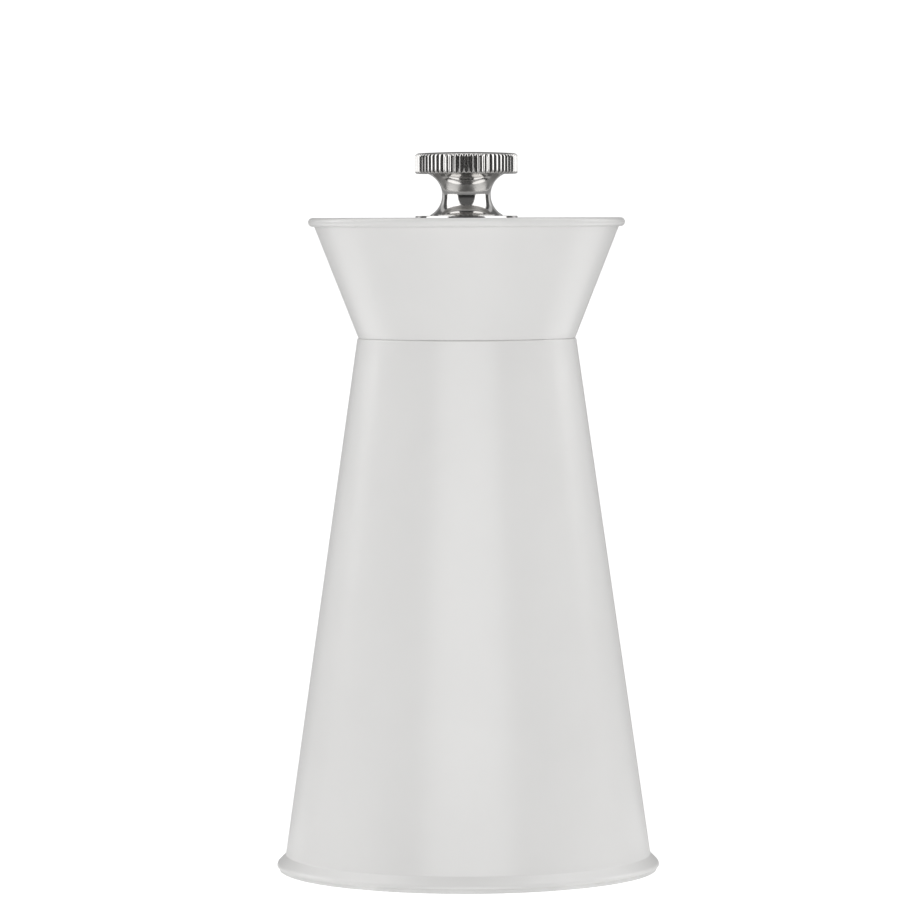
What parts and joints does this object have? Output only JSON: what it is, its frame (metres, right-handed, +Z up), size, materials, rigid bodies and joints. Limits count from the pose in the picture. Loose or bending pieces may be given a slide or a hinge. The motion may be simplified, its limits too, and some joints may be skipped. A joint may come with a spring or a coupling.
{
  "type": "pepper mill",
  "caption": "Twist-top pepper mill: waisted white sheet-metal body and cap with a knurled adjusting knob.",
  "frame": {"origin": "on the mill's axis, in the plane that its foot ring stands on", "axes": "+Z up along the spindle; +X and +Y are square to it, and the body is round about Z"},
  "size_m": [0.0748, 0.0748, 0.1402],
  "materials": {
    "coated_steel": "satin-gloss epoxy coating",
    "polished_steel": "polished stainless steel",
    "satin_steel": "satin turned stainless steel",
    "grinder_steel": "hardened carbon steel",
    "plated_steel": "zinc-plated",
    "spring_steel": "drawn wire",
    "dark_plastic": "fine moulded grain",
    "hopper_plastic": "natural moulded",
    "foot_rubber": "white silicone"
  },
  "bodies": {
    "mill_body": {"body_shell": "coated_steel", "neck_bush": "dark_plastic", "hopper": "hopper_plastic", "base_plate": "dark_plastic", "foot_ring": "foot_rubber", "base_screws": "plated_steel", "grinder_housing": "plated_steel", "housing_screws": "plated_steel", "stator": "grinder_steel", "bridge": "plated_steel"},
    "drive": {"thrust_washer": "plated_steel", "spring": "spring_steel"},
    "spindle": {"spindle": "polished_steel", "rotor": "grinder_steel", "rotor_nut": "plated_steel", "spindle_clip": "spring_steel"},
    "head": {"cap_shell": "coated_steel", "top_plate": "satin_steel", "cap_core": "dark_plastic", "cap_screws": "plated_steel", "drive_plate": "plated_steel", "drive_plate_screws": "plated_steel"},
    "knob_washer": {"knob_washer": "polished_steel"},
    "knob": {"adjusting_knob": "polished_steel"}
  },
  "joints": [
    {"name": "grind_turn", "type": "hinge", "parent": "mill_body", "child": "drive", "pos_m": [0, 0, 0.104], "axis": [0, 0, 1], "continuous": true},
    {"name": "grind_adjust", "type": "slide", "parent": "drive", "child": "spindle", "axis": [0, 0, 1], "range_m": [-0.0012, 0], "deforming": ["spring"]},
    {"name": "cap_lift", "type": "slide", "parent": "drive", "child": "head", "axis": [0, 0, 1], "range_m": [0, 0.045]},
    {"name": "knob_lift", "type": "slide", "parent": "head", "child": "knob_washer", "axis": [0, 0, 1], "range_m": [0, 0.015]},
    {"name": "knob_turn", "type": "hinge", "parent": "knob_washer", "child": "knob", "pos_m": [0, 0, 0.128], "axis": [0, 0, 1], "range_deg": [0, 540]}
  ],
  "couplings": [
    {"joint": "knob_turn", "follows": "grind_adjust", "rad_per_m": -7854}
  ]
}
